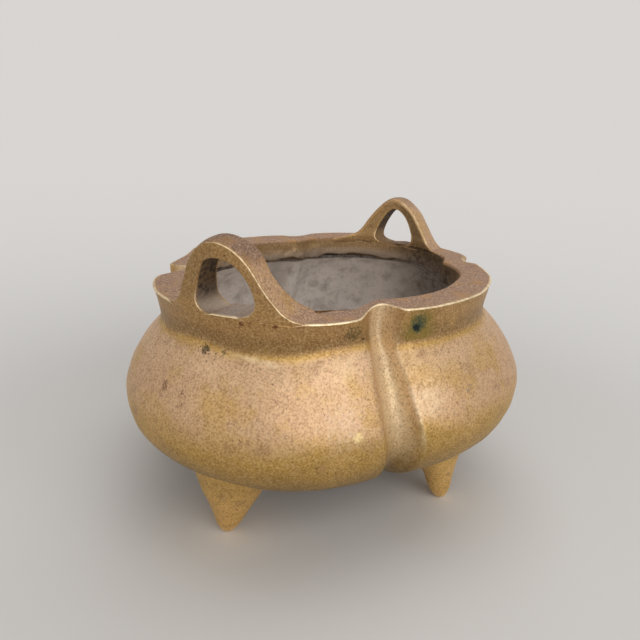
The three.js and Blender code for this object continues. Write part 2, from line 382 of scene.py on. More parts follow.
def ring_loop(name: str, grid: np.ndarray, marks: dict) -> bpy.types.Object:
    """A closed ring-shaped body: a torus whose section is then put in place.

    Args:
        name: The object's name.
        grid: Places in millimetres, as section points by sides by three.
        marks: Values from 0 to 1 for the material, by name, as section points by sides.

    Returns:
        The new object.
    """
    rings, sides = grid.shape[:2]
    deselect_all()
    bpy.ops.mesh.primitive_torus_add(major_segments=sides, minor_segments=rings, major_radius=1, minor_radius=0.25)
    piece = bpy.context.object
    piece.name = piece.data.name = name
    co = places(piece)
    side = np.rint(np.arctan2(co[:, 1], co[:, 0]) / (2 * math.pi) * sides).astype(int) % sides
    around = np.arctan2(co[:, 2], np.hypot(co[:, 0], co[:, 1]) - 1)
    ring = np.rint(around / (2 * math.pi) * rings).astype(int) % rings
    put_places(piece, grid[ring, side])
    paint(piece, {key: values[ring, side] for key, values in marks.items()})
    return piece


def finish_mesh(piece: bpy.types.Object, crease: float) -> bpy.types.Object:
    """Merges doubles, turns the faces outwards and shades the piece smooth.

    Args:
        piece: The piece.
        crease: Degrees between faces above which an edge stays sharp.

    Returns:
        The same piece.
    """
    deselect_all()
    piece.select_set(True)
    bpy.context.view_layer.objects.active = piece
    bpy.ops.object.mode_set(mode="EDIT")
    bpy.ops.mesh.select_all(action="SELECT")
    bpy.ops.mesh.remove_doubles(threshold=1e-7)
    bpy.ops.mesh.normals_make_consistent(inside=False)
    bpy.ops.object.mode_set(mode="OBJECT")
    bpy.ops.object.shade_smooth_by_angle(angle=math.radians(crease))
    return piece


# Values from 0 to 1 on the vertices: rubbed edges with painted glints, the rim's granular skin, ash, soot with painted
# shade in corners, recesses and hidden joints, flutes, and height in 0.1 m
MARKS = ("worn", "grit", "ash", "soot", "flute", "level")
MARK_HEIGHT = 100


def paint(piece: bpy.types.Object, marks: dict) -> None:
    """Stores values on the vertices, for the material to read.

    Args:
        piece: The piece.
        marks: One value for each vertex, by the mark's name. A mark that isn't given is 0.
    """
    for name in MARKS:
        attribute = piece.data.attributes.new(name, "FLOAT", "POINT")
        values = marks.get(name, np.zeros(len(piece.data.vertices)))
        attribute.data.foreach_set("value", np.clip(values, 0, 1).astype(np.float32))


def ring_of(reach: np.ndarray, turns: np.ndarray, z: object) -> np.ndarray:
    """Places at distances from the upright axis, at one height or at one for each place."""
    return np.stack([reach * np.cos(turns), reach * np.sin(turns), np.zeros_like(reach) + z], -1)


def moved_out(grid: np.ndarray, amount: np.ndarray) -> np.ndarray:
    """Moves places away from the upright axis.

    Args:
        grid: The places.
        amount: How far each one moves.

    Returns:
        The moved places.
    """
    level = np.hypot(grid[..., 0], grid[..., 1]) + 1e-9
    moved = grid.copy()
    moved[..., :2] *= (1 + amount / level)[..., None]
    return moved


def cast_lumps(grid: np.ndarray) -> np.ndarray:
    """How far the casting's unevenness moves the outer skin."""
    flat = grid.reshape(-1, 3)
    return (0.16 * unevenness(flat, 26, 11) + 0.05 * unevenness(flat, 8, 12)).reshape(grid.shape[:-1])


def flute_offset(turn: np.ndarray, z: np.ndarray) -> np.ndarray:
    """Distance from a flute's middle towards the Y lobe, measured at one reach all the way up, for masks."""
    table = np.array(FLUTES.rows)
    return (folded(turn) - DIAGONAL) * MASK_REACH - np.interp(z, table[:, 0], table[:, 1])


def flute_share(turn: np.ndarray, z: np.ndarray) -> np.ndarray:
    """1 at the middle of a flute, 0 outside it."""
    return 1 - smooth(np.abs(flute_offset(turn, z)), 2.6, 5.0)


def flute_edge(turn: np.ndarray, z: np.ndarray) -> np.ndarray:
    """1 on the crisp edge where a flute meets the Y lobe's belly, 0 away from it."""
    return bump(flute_offset(turn, z), 4.9, 0.9) * smooth(z, 31, 36) * (1 - smooth(z, 45, 51))


def spline(points: tuple, count: int) -> np.ndarray:
    """A smooth curve through points, evenly spaced along its length.

    Args:
        points: The points that it passes.
        count: How many points the curve has.

    Returns:
        The curve, one row for each point.
    """
    knots = np.array(points, float)
    padded = np.concatenate([[2 * knots[0] - knots[1]], knots, [2 * knots[-1] - knots[-2]]])
    fine = []
    for i in range(1, len(padded) - 2):
        a, b, c, d = padded[i - 1 : i + 3]
        t = np.linspace(0, 1, 24, endpoint=False)[:, None]
        fine.append(0.5 * (2 * b + (c - a) * t + (2 * a - 5 * b + 4 * c - d) * t**2 + (3 * b - a - 3 * c + d) * t**3))
    fine = np.concatenate(fine + [knots[-1:]])
    length = np.concatenate([[0], np.cumsum(np.linalg.norm(np.diff(fine, axis=0), axis=1))])
    even = np.linspace(0, length[-1], count)
    return np.stack([np.interp(even, length, fine[:, k]) for k in range(fine.shape[1])], -1)


# The outer skin, shared by the bowl and the neck


class Skin:
    """The outside of bowl and neck as one run of rings, so that the joint between them leaves no step."""

    FILLET = 1.5
    STEP = 0.5
    LOW_STEP = 1.3
    UNDER_ROWS = 90
    SHOULDER_ROWS = 60
    NECK_ROWS = 24

    def __init__(self, turns: np.ndarray) -> None:
        """Builds the rings.

        Args:
            turns: Angles of the vertices in each ring.
        """
        self.turns = turns
        rows = self._underside() + self._shoulder()
        rows += [(z, self.neck_reach(z)) for z in np.linspace(NECK_FOOT + 0.3, RIM_TOP, self.NECK_ROWS)]
        heights, reaches = self._evened(np.array([z for z, _ in rows]), np.array([r for _, r in rows]))
        heights, reaches = self._softened(heights, reaches)
        grid = np.stack([ring_of(reach, turns, z) for z, reach in zip(heights, reaches)])
        bent = hand_made(grid.reshape(-1, 3)).reshape(grid.shape)
        self.heights = heights
        self.grid = moved_out(bent, cast_lumps(bent) * smooth(heights, 12.2, 16)[:, None])

    def _underside(self) -> list:
        """Rings from the flat underside out to the belly's widest height.

        Returns:
            A height and the reaches for each ring.
        """
        power = 2 / UNDERSIDE_ROUNDNESS
        rows = []
        for angle in np.linspace(NEAR_AXIS, 0, self.UNDER_ROWS, endpoint=False):
            scale = math.cos(angle) ** power
            z = BELLY_WIDEST + (FLOOR_UNDER - BELLY_WIDEST) * math.sin(angle) ** power
            share = float(smooth(np.array(scale), 0.3, 0.86))
            rows.append((z, scale * BELLY.reach(self.turns, z, share)))
        return rows

    def _shoulder(self) -> list:
        """Rings from the belly's widest height in to the neck's foot.

        Returns:
            A height and the reaches for each ring.
        """
        rows = []
        end = rounded_out(SHOULDER_CUT, SHOULDER_ROUNDNESS)
        for angle in np.linspace(0, QUARTER, self.SHOULDER_ROWS):
            up = math.sin(angle)
            z = BELLY_WIDEST + (NECK_FOOT - BELLY_WIDEST) * up
            out = (rounded_out(SHOULDER_CUT * up, SHOULDER_ROUNDNESS) - end) / (1 - end)
            belly, neck = BELLY.reach(self.turns, z), NECK.reach(self.turns, z)
            rows.append((z, neck + (belly - neck) * out))
        return rows

    def neck_reach(self, z: float) -> np.ndarray:
        """Reach of the neck's outer face.

        Args:
            z: The height.

        Returns:
            One distance for each angle.
        """
        up = (z - NECK_FOOT) / (RIM_TOP - NECK_FOOT)
        neck, rim = NECK.reach(self.turns, z), RIM.reach(self.turns, z)
        return neck + (rim - neck) * up**NECK_FLARE

    def _evened(self, heights: np.ndarray, reaches: np.ndarray) -> tuple:
        """Spreads the rings: about 1.3 mm apart under the belly, 0.5 mm above.

        Args:
            heights: The rings' heights.
            reaches: Their reaches, one row each.

        Returns:
            The heights and reaches of the new rings.
        """
        mean = reaches.mean(1)
        step = np.hypot(np.diff(heights), np.diff(mean)) / np.where(heights[1:] < 30, self.LOW_STEP, self.STEP)
        length = np.concatenate([[0], np.cumsum(step)])
        even = np.linspace(0, length[-1], int(length[-1]))
        spread = np.array([np.interp(even, length, reaches[:, j]) for j in range(reaches.shape[1])]).T
        return np.interp(even, length, heights), spread

    def _softened(self, heights: np.ndarray, reaches: np.ndarray) -> tuple:
        """Rounds the inner corner where the neck rises from the shoulder.

        Args:
            heights: The rings' heights.
            reaches: Their reaches, one row each.

        Returns:
            The same rings with the corner rounded.
        """
        joint = int(np.argmin(np.abs(heights - NECK_FOOT) + (heights < 50) * 99))
        span = int(2.5 * self.FILLET / self.STEP)
        kernel = np.exp(-0.5 * (np.arange(-span, span + 1) * self.STEP / self.FILLET) ** 2)
        kernel /= kernel.sum()
        soft_heights, soft_reaches = heights.copy(), reaches.copy()
        for i in range(joint - 2 * span, min(joint + 2 * span, len(heights) - span - 1)):
            share = float(smooth(np.array(2.0 - abs(i - joint) / span), 0.0, 1.0))
            window = slice(i - span, i + span + 1)
            soft_heights[i] += share * (kernel @ heights[window] - heights[i])
            soft_reaches[i] += share * (kernel @ reaches[window] - reaches[i])
        return soft_heights, soft_reaches

    def ring(self, index: int, sink: float = 0.0) -> np.ndarray:
        """One ring of places, sunk under the surface by a little."""
        return moved_out(self.grid[index], np.full(len(self.turns), -sink))

    def index_at(self, z: float) -> int:
        """Index of the ring nearest to a height, counted on the shoulder and neck."""
        start = int(np.argmax(self.heights > BELLY_WIDEST))
        return start + int(np.argmin(np.abs(self.heights[start:] - z)))


# The pieces


# Where the near shoulder meets the neck: a line of painted highlight along the ridge, with some wear
SHOULDER_LINE = (
    (-59.5, -3.6, 57.7), (-58.9, -7.1, 57.2), (-57.9, -10.6, 56.7), (-56.9, -13.2, 56.1), (-56.2, -16.6, 55.8),
)


@dataclass
class Bowl:
    """The four-lobed belly, from the underside round the lip to the inside floor."""

    skin: Skin
    wall_rows: int = 18
    floor_rows: int = 34
    lip_share: float = 0.34
    lip_height: float = 1.2

    def build(self) -> bpy.types.Object:
        """Models the bowl.

        Returns:
            The finished piece.
        """
        turns = self.skin.turns
        seam = self.skin.index_at(SEAM)
        outside = [self.skin.ring(i) for i in range(seam + 1)]
        outside += [self.skin.ring(seam + 1, 0.03), self.skin.ring(seam + 2, 0.09)]
        count = len(outside)
        lip_top = SEAM + self.lip_height
        mouth = ring_of(mouth_reach(turns, SEAM), turns, lip_top)
        top = outside[-1] * [1, 1, 0] + [0, 0, lip_top]
        lip = [mouth + (top - mouth) * share for share in (0.85, 0.6, self.lip_share)]
        grid = np.array(outside + lip + self._inside(lip[-1]))
        turn, z = turn_of(grid), grid[..., 2]
        ash, soot, level = np.zeros(z.shape), np.zeros(z.shape), np.full(z.shape, 0.3)
        ash[count + 2 :] = 1
        # Painted shade in the far right-hand corner of the inside, and in a crevice beside the far flute
        corner = 0.85 * (1 - smooth(np.abs(turned_from(turn, -36)), 20, 46))
        painted_shade = np.maximum(corner, 0.35 * facing(turn, 54, 9)) * smooth(z, 19, 34)
        # Painted shade on the lip, where it lies under the neck's inner wall
        soot[count : count + 5] = 0.9
        level[:count] = self.skin.heights[:count, None] / MARK_HEIGHT
        marks = {
            "ash": ash,
            "soot": np.maximum(soot, painted_shade * ash),
            "flute": flute_share(turn, z) * smooth(z, 24, 40) * (1 - ash),
            "level": level,
            # Painted glints along the crisp edge of the flutes and along the near shoulder's ridge
            "worn": np.maximum(0.45 * flute_edge(turn, z), 0.6 * self._near_shoulder_line(grid)) * (1 - ash),
        }
        return finish_mesh(ring_stack("bowl_skin", grid, [0, 0, FLOOR_UNDER], [0, 0, FLOOR_TOP], marks), BOWL_CREASE)

    def _near_shoulder_line(self, grid: np.ndarray) -> np.ndarray:
        """Marks the places close to the near shoulder's line of painted highlight.

        Args:
            grid: The places.

        Returns:
            1 on the line, 0 from 0.9 mm away.
        """
        near = np.zeros(grid.shape[:2])
        line = np.array(SHOULDER_LINE)
        for a, b in zip(line[:-1], line[1:]):
            along = np.clip((grid - a) @ (b - a) / ((b - a) @ (b - a)), 0, 1)
            near = np.maximum(near, bump(np.linalg.norm(grid - a - along[..., None] * (b - a), axis=-1), 0, 0.9))
        return near

    def _inside(self, lip: np.ndarray) -> list:
        """Rings from the lip down the inner wall to the middle of the floor.

        Args:
            lip: The lip's last ring.

        Returns:
            The rings.
        """
        turns = self.skin.turns
        rows = []
        top = NECK_FOOT + 1.5
        start = np.hypot(lip[:, 0], lip[:, 1])
        for angle in np.linspace(QUARTER * 0.97, 0, self.wall_rows, endpoint=False):
            up = math.sin(angle)
            z = BELLY_WIDEST + (top - BELLY_WIDEST) * up
            cavity = CAVITY.reach(turns, z)
            rows.append(ring_of(start + (cavity - start) * rounded_out(up, SHOULDER_ROUNDNESS), turns, z))
        for angle in np.linspace(0, NEAR_AXIS, self.floor_rows):
            scale = math.cos(angle) ** (2 / UNDERSIDE_ROUNDNESS)
            z = BELLY_WIDEST + (FLOOR_TOP - BELLY_WIDEST) * math.sin(angle) ** (2 / UNDERSIDE_ROUNDNESS)
            share = float(smooth(np.array(scale), 0.25, 0.8))
            rows.append(ring_of(scale * CAVITY.reach(turns, z, share), turns, z))
        grid = np.array(rows)
        flat = grid.reshape(-1, 3)
        lumps = 0.35 * unevenness(flat, 17, 21) + 0.16 * unevenness(flat, 5, 22)
        return list(moved_out(grid, lumps.reshape(grid.shape[:2])))


class Zone(IntEnum):
    """Zones of the neck's section, in the order of its rings."""

    FACE = 0
    EDGE = 1
    TOP = 2
    ROUNDING = 3
    WALL = 4
    UNDER = 5


@dataclass
class NeckRim:
    """The flared neck with its flat rim, and the short inner wall with a ragged lower edge."""

    skin: Skin
    edge: float = 0.3
    inner_edge: float = 0.8
    wall_low: float = 60.2

    def build(self) -> bpy.types.Object:
        """Models the neck.

        Returns:
            The finished piece.
        """
        turns = self.skin.turns
        seam = self.skin.index_at(SEAM)
        last = len(self.skin.heights) - 1
        low = [self.skin.ring(seam - 2, 0.2), self.skin.ring(seam - 1, 0.09), self.skin.ring(seam, 0.03)]
        face = low + [
            self.skin.ring(i) for i in range(seam + 1, last) if self.skin.heights[i] < RIM_TOP - self.edge - 0.15
        ]
        rim = self.skin.grid[last]
        rim_reach, rim_z = np.hypot(rim[:, 0], rim[:, 1]), rim[:, 2]
        mouth = mouth_reach(turns, 62.0)
        corner = [
            ring_of(rim_reach - self.edge * (1 - math.cos(a)), turns, rim_z - self.edge * (1 - math.sin(a)))
            for a in np.linspace(0.1, QUARTER, 6)
        ]
        inner = [
            ring_of(mouth + self.inner_edge * (1 - math.cos(a)), turns, rim_z - self.inner_edge * (1 - math.sin(a)))
            for a in np.linspace(QUARTER, 0, 6)
        ]
        top = [corner[-1] + (inner[0] - corner[-1]) * share for share in np.linspace(0, 1, 18)[1:-1]]
        wall = [ring_of(mouth, turns, z) for z in np.linspace(RIM_TOP - self.inner_edge, self.wall_low, 14)[1:]]
        inner_plan, skin_plan = ring_of(mouth, turns, 0.0), self.skin.ring(seam) * [1, 1, 0]
        # Shares of the way from the mouth to the skin, and heights, of the underside that the bowl hides
        steps = [(0.03, 59.8), (0.1, 59.5), (0.2, 59.3), (0.35, 59.1), (0.55, 58.9), (0.8, 58.6)]
        under = [inner_plan + (skin_plan - inner_plan) * share + [0, 0, z] for share, z in steps]
        groups = [face, corner, top, inner, wall, under]
        part = np.concatenate([np.full(len(rows), zone) for zone, rows in zip(Zone, groups)])
        grid = self._uneven(np.concatenate(groups), part)
        return self._made(grid, part)

    def _legs(self, grid: np.ndarray) -> np.ndarray:
        """Marks where the handles' legs stand on the rim.

        Args:
            grid: The places.

        Returns:
            1 under a leg, 0 away from it.
        """
        legs = np.zeros(grid.shape[:-1])
        for handle in (NEAR_HANDLE, FAR_HANDLE):
            here = np.sign(grid[..., 0]) == handle.end.value
            across = np.abs(grid[..., 1] - handle.middle_y)
            ends = np.where(grid[..., 1] > handle.middle_y, 16.5, 15.6)
            legs += here * smooth(across, 3.2, 5.8) * (1 - smooth(across, ends - 1, ends + 1.2))
        return legs

    def _uneven(self, grid: np.ndarray, part: np.ndarray) -> np.ndarray:
        """Gives the rings the casting's unevenness, and sinks them under the handles' legs.

        Args:
            grid: The rings.
            part: The zone of each ring.

        Returns:
            The uneven rings.
        """
        flat = grid.reshape(-1, 3)
        kind = np.repeat(part, grid.shape[1])
        plan = flat * [1, 1, 0]
        lumps = np.where(kind >= Zone.ROUNDING, 0.25 * unevenness(flat, 14, 31) + 0.12 * unevenness(flat, 4, 32), 0)
        lumps = lumps * (1 - smooth(flat[:, 2], 62.5, 64.8))
        lumps -= np.where(kind <= Zone.EDGE, 0.22 * self._legs(flat) * smooth(flat[:, 2], 64.2, 65.8), 0)
        turn = turn_of(flat)
        ragged = 0.45 * unevenness(plan, 9, 33) + 0.2 * unevenness(plan, 3.5, 34) + facing(turn, 110, 50)
        flat = flat.copy()
        low = 1 - smooth(flat[:, 2], self.wall_low, self.wall_low + 3.5)
        flat[:, 2] += np.where(kind >= Zone.WALL, ragged * low, 0)
        dished = 0.07 * unevenness(plan, 22, 35) + 0.03 * unevenness(plan, 6, 36) - 0.1
        flat[:, 2] += np.where((kind >= Zone.EDGE) & (kind <= Zone.ROUNDING), dished, 0)
        flat[:, 2] -= np.where(kind <= Zone.ROUNDING, 0.6 * self._legs(flat) * smooth(flat[:, 2], 63.5, 66.2), 0)
        return moved_out(flat.reshape(grid.shape), lumps.reshape(grid.shape[:2]))

    def _levels(self, part: np.ndarray) -> np.ndarray:
        """The height mark of each ring, as the skin's own rings have it.

        Args:
            part: The zone of each ring.

        Returns:
            Heights in 0.1 m.
        """
        seam = self.skin.index_at(SEAM)
        steps = np.minimum(np.arange(len(part)) + seam - 2, len(self.skin.heights) - 1)
        return self.skin.heights[steps] / MARK_HEIGHT

    def _made(self, grid: np.ndarray, part: np.ndarray) -> bpy.types.Object:
        """Makes the mesh and its marks.

        Args:
            grid: The rings.
            part: The zone of each ring.

        Returns:
            The finished piece.
        """
        turn, z = turn_of(grid), grid[..., 2]
        zone = np.repeat(part[:, None], grid.shape[1], 1)
        top, wall = zone == Zone.TOP, zone == Zone.WALL
        # Painted shade in the far right-hand corner of the inner wall, as on the bowl's inside
        corner = 1 - smooth(np.abs(turned_from(turn, -34)), 20, 46)
        sill = bump(grid[..., 1], NEAR_HANDLE.middle_y, 8) * (grid[..., 0] < 0)
        # Painted glint with wear along the rim's outer edge, fainter on the rear lobe and at the right-hand flute
        kept = (1 - 0.75 * facing(turn, 120, 60)) * (1 - 0.85 * facing(turn, -40, 16))
        # The inner wall is darkened all over, and more towards its lower edge in painted shade
        wall_soot_and_shade = np.maximum(0.2 + 0.4 * (1 - smooth(z, 59.8, 62.5)), 0.95 * corner)
        marks = {
            "worn": (zone == Zone.EDGE) * (1 - self._legs(grid)) * kept,
            "grit": top + 0.85 * (zone == Zone.ROUNDING),
            "ash": wall * (0.05 + 0.4 * (1 - smooth(z, 59.5, 64.5))) + top * 0.4 * sill,
            # Painted shade on the hidden underside, on the inner wall, and on the rim top under the near handle's arch
            "soot": (zone == Zone.UNDER) * 0.8 + wall * wall_soot_and_shade + top * 0.35 * sill,
            "flute": flute_share(turn, z) * (zone <= Zone.EDGE),
            "level": np.where(zone == Zone.FACE, self._levels(part)[:, None], 0.66),
        }
        return finish_mesh(ring_loop("neck_rim_skin", grid, marks), CREASE)


@dataclass(frozen=True)
class HandleShape:
    """Where a handle stands and its outlines, as distances along Y from its middle and heights over the rim.

    The strap is wide_low wide at the rim and wide_high above. Down to flush under the rim it lies in the neck's face,
    and rise is how far its mouth side stands over its outward side at the top.
    """

    end: End
    middle_y: float
    outer: tuple
    inner: tuple
    wide_low: float
    wide_high: float
    height: float
    flush: float
    rise: float


NEAR_HANDLE = HandleShape(
    End.LEFT,
    -5.4,
    ((21.5, -0.8), (17.5, -0.15), (14.6, 0.9), (12.3, 3.1), (10.6, 6.1), (9.0, 9.2), (7.1, 12.3), (4.9, 14.9),
     (2.4, 16.6), (-0.3, 17.1), (-2.9, 16.5), (-5.2, 14.8), (-7.1, 12.2), (-8.6, 9.2), (-10.0, 6.3), (-11.5, 3.4),
     (-13.2, 0.9), (-15.4, -0.7), (-18.5, -1.3), (-21.5, -1.9)),
    ((1.5, -0.7), (4.2, -0.4), (6.1, 0.3), (7.1, 2.0), (6.7, 4.2), (5.7, 7.2), (4.6, 10.0), (3.2, 12.3),
     (1.1, 13.3), (-1.2, 13.4), (-3.3, 12.7), (-5.2, 10.8), (-6.6, 8.2), (-7.4, 5.4), (-7.4, 2.8), (-6.3, 1.0),
     (-4.2, 0.0), (-1.5, -0.7)),
    wide_low=9.0,
    wide_high=7.0,
    height=17.1,
    flush=0.0,
    rise=1.0,
)
FAR_HANDLE = HandleShape(
    End.RIGHT,
    0.2,
    ((21.0, -0.6), (17.5, 0.1), (14.8, 1.1), (12.8, 3.4), (11.2, 6.2), (9.6, 8.7), (7.7, 11.2), (5.6, 13.4),
     (3.4, 14.6), (1.0, 14.7), (-1.4, 13.9), (-4.0, 12.2), (-6.6, 10.1), (-8.8, 7.6), (-10.9, 5.1), (-12.9, 2.7),
     (-15.2, 0.4), (-18.0, -1.4), (-21.0, -2.2)),
    ((2.5, -2.0), (5.0, -1.5), (6.8, -0.4), (7.3, 1.5), (6.7, 4.4), (5.6, 7.0), (4.3, 9.3), (2.5, 10.9), (0.6, 11.2),
     (-1.4, 10.3), (-3.4, 8.5), (-5.1, 6.3), (-6.4, 4.0), (-7.4, 1.7), (-7.3, -0.4), (-5.6, -1.5), (-3.0, -2.0)),
    wide_low=8.8,
    wide_high=8.6,
    height=14.7,
    flush=2.0,
    rise=0.0,
)


class Side(IntEnum):
    """Faces of the strap's section and the corners between them, in order round it."""

    TOP = 0
    TOP_MOUTH = 1
    MOUTH = 2
    MOUTH_LOOP = 3
    LOOP = 4
    LOOP_FRONT = 5
    FRONT = 6
    FRONT_TOP = 7


@dataclass
class Handle:
    """A loop handle: a strap nearly as wide as the rim, raised into an arch whose legs run out along the rim."""

    shape: HandleShape
    steps: int = 170
    edge: float = 0.26
    soft_edge: float = 0.9
    crown: float = 0.45
    skirt: float = 4.2
    face_points: tuple = (16, 7, 14, 7)

    # Codes for places through the strap, added to a share of the face's thickness or to a distance from the loop
    MOUTH_CODE = 10
    FRONT_CODE = 20
    LOOP_CODE = 1000

    def build(self) -> bpy.types.Object:
        """Models the handle.

        Returns:
            The finished piece.
        """
        outer, inner = spline(self.shape.outer, self.steps), spline(self.shape.inner, self.steps)
        drop = np.array([[0.0, -self.skirt], [0.0, -self.skirt * 0.6], [0.0, -self.skirt * 0.25]])
        outer = np.concatenate([outer[0] + drop, outer, outer[-1] + drop[::-1]])
        inner = np.concatenate([inner[0] + drop, inner, inner[-1] + drop[::-1]])
        through, across, kind = self._section()
        gap = np.linalg.norm(inner - outer, axis=1)[:, None]
        v = self._rounded(through, gap)
        flat = outer[:, None] + (inner - outer)[:, None] * v[..., None]
        normal = (outer - inner) / (gap + 1e-9)
        top = kind == Side.TOP
        raised = self.crown * np.sin(math.pi * across) ** 0.8 * top * smooth(outer[:, 1:], 1.0, 6.0)
        raised = raised + self.shape.rise * across * np.clip(1 - v, 0, 1) * smooth(outer[:, 1:], 9.0, 15.0)
        flat = flat + normal[:, None] * raised[..., None]
        grid = self._placed(flat[..., 0], flat[..., 1], np.repeat(across[None], len(outer), 0))
        sides = np.repeat(kind[None], len(outer), 0)
        middle = np.repeat(self._arc()[None], len(outer), 0)
        piece = ring_stack(
            "handle_" + self.shape.end.name.lower() + "_strap", grid, grid[0].mean(0), grid[-1].mean(0),
            self._marks(sides, middle, flat[..., 0], flat[..., 1]),
        )
        return finish_mesh(piece, CREASE)

    def _marks(self, sides: np.ndarray, middle: np.ndarray, along: np.ndarray, up: np.ndarray) -> dict:
        """Wear with painted glints, soot with painted shade, ash and grit on the strap.

        Args:
            sides: The side or corner that each vertex belongs to.
            middle: 1 in the middle of the rounded corners.
            along: Places along Y from the handle's middle.
            up: Heights over the rim.

        Returns:
            Values for each vertex, by the mark's name.
        """
        # The strap's right-hand side, where the painted glints are brightest and the far handle's mouth side takes more
        # painted shade
        right = smooth(-along, -2, 3)
        far_one = self.shape.end is End.RIGHT
        at = {side: sides == side for side in Side}
        # Painted glints with wear along the strap's edges: the outer edge, brighter on the right-hand slope, the loop's
        # lower front edge, and the far handle's mouth-side edges
        worn = at[Side.FRONT_TOP] * middle * (0.25 + 0.75 * right) * smooth(up, -1.2, -0.6)
        worn += at[Side.LOOP_FRONT] * middle * (1 - smooth(up, 3, 7)) * smooth(up, -0.9, -0.4) * 0.8
        worn += at[Side.TOP_MOUTH] * 0.4 * right * middle * smooth(up, -1, 1) * far_one
        low = smooth(up, -1.5, -0.5) * (1 - smooth(up, 1.5, 4))
        worn += at[Side.MOUTH_LOOP] * 0.7 * (1 - right) * middle * low * far_one
        # Painted shade inside the loop, deepest under the arch, a little on the front faces and more on one side, and
        # on the far handle's mouth side; dark patina near the top of the arch
        soot = at[Side.LOOP] * (0.35 + 0.65 * smooth(up, 0.5, 5)) + at[Side.TOP] * 0.38 * smooth(up, 11, 15)
        soot += (sides >= Side.LOOP_FRONT) * (0.12 + 0.1 * (along > 0)) * smooth(up, 0.5, 6)
        soot += at[Side.MOUTH] * (0.3 + 0.35 * right) * far_one
        rough = (0.4 + 0.6 * np.maximum(smooth(up, 9.5, 14.5), 0.8 * (1 - smooth(up, 0, 2)))) * (1 - 0.5 * far_one)
        return {
            "worn": worn,
            "grit": (at[Side.TOP] + 0.8 * at[Side.TOP_MOUTH]) * rough,
            "level": np.where(at[Side.TOP], 0.42, 0.72),
            "soot": soot,
            "ash": at[Side.LOOP] * 0.45 * (1 - smooth(up, 2, 8)) * (not far_one),
        }

    def _arc(self) -> np.ndarray:
        """1 in the middle of each rounded corner, 0 at its ends and on the faces."""
        hump = np.sin(math.pi * np.linspace(0, 1, 6)) ** 0.7
        return np.concatenate([np.append(np.zeros(count), hump) for count in self.face_points])

    def _section(self) -> tuple:
        """The strap's section as a run of points round it.

        Returns:
            Places through the strap from its outer face, in the code that _rounded reads, shares across its width,
            and the side or corner that each point belongs to.
        """
        through, across, kind = [], [], []
        wide = self.shape.wide_high
        steps = [np.linspace(0, 1, count + 2)[1:-1] for count in self.face_points]
        faces = [
            [(0.0, t) for t in steps[0]],
            [(t, 1.0) for t in steps[1]],
            [(1.0, 1 - t) for t in steps[2]],
            [(1 - t, 0.0) for t in steps[3]],
        ]
        radii = [self.edge, self.soft_edge, self.edge, self.edge]
        for number, face in enumerate(faces):
            start, end = radii[number], radii[(number + 1) % 4]
            for v, w in face:
                if number in (0, 2):
                    low, high = (start, end) if number == 0 else (end, start)
                    w = low / wide + w * (1 - (low + high) / wide)
                    through.append(v)
                else:
                    through.append(v + (self.MOUTH_CODE if number == 1 else self.FRONT_CODE))
                across.append(w)
                kind.append(2 * number)
            for angle in np.linspace(0, QUARTER, 6):
                a, b = end * (1 - math.cos(angle)), end * (1 - math.sin(angle))
                outside = (-a - 1e-6, self.LOOP_CODE + b, self.LOOP_CODE + a, -b - 1e-6)[number]
                share = (1 - b / wide, 1 - a / wide, b / wide, a / wide)[number]
                through.append(outside)
                across.append(share)
                kind.append(2 * number + 1)
        return np.array(through), np.array(across), np.array(kind)

    def _rounded(self, through: np.ndarray, gap: np.ndarray) -> np.ndarray:
        """Turns the section's places into shares of the strap's thickness.

        Args:
            through: The section's places in code.
            gap: The strap's thickness at each step.

        Returns:
            Shares from the outer face to the loop, as steps by section points.
        """
        soft, edge = self.soft_edge / gap, self.edge / gap
        share = np.repeat(through[None], len(gap), 0)
        mouth_side, front, loop = share - self.MOUTH_CODE, share - self.FRONT_CODE, share - self.LOOP_CODE
        return np.select(
            [share < 0, loop >= 0, (front >= 0) & (front < 2), (mouth_side >= 0) & (mouth_side < 2)],
            [-share / gap, 1 - loop / gap, edge + front * (1 - 2 * edge), soft + mouth_side * (1 - soft - edge)],
            share,
        )

    def _placed(self, across: np.ndarray, up: np.ndarray, width: np.ndarray) -> np.ndarray:
        """Stands the strap's places on the rim.

        Args:
            across: Places along Y from the handle's middle.
            up: Heights over the rim.
            width: Shares of the strap's width, from its outward face.

        Returns:
            The places.
        """
        shape = self.shape
        y = shape.middle_y + across
        sag = rim_sag(np.arctan2(y, shape.end.value * RIM.half_x + 0 * y))
        rise = np.clip((up + sag + RIM_TOP - NECK_FOOT) / (RIM_TOP - NECK_FOOT), 0, 1) ** NECK_FLARE
        half = NECK.half_x + (RIM.half_x - NECK.half_x) * rise
        radius = NECK.lobe_x + (RIM.lobe_x - NECK.lobe_x) * rise + HANDLE_LEAN * np.maximum(up, 0)
        front = half - (NECK.lobe_x + (RIM.lobe_x - NECK.lobe_x) * rise) + np.sqrt(np.maximum(radius**2 - y**2, 1))
        wide = shape.wide_low + (shape.wide_high - shape.wide_low) * smooth(up, 0, 0.6 * shape.height)
        whole = front - mouth_edge(y, shape.end.value) + 0.1
        share = 1.0 if shape.end is End.RIGHT else 0.35
        wide = wide + share * (whole - wide) * (1 - smooth(up, 0, 3.0))
        far = np.abs(across)
        fade = np.maximum(smooth(far, 15.5, 20), smooth(-up, 2.4, 3.8))
        tucked = 2.2 * smooth(-up, shape.flush, shape.flush + 1.2)
        x = front + 0.06 - 0.3 * fade - (wide - tucked) * width
        grid = np.stack([shape.end.value * x, y, RIM_TOP + up], -1)
        lumps = cast_lumps(grid)
        grid[..., 0] += shape.end.value * lumps
        grid[..., 2] += 0.08 * unevenness(grid.reshape(-1, 3), 9, 41).reshape(lumps.shape) * smooth(up, 0.5, 3)
        return grid


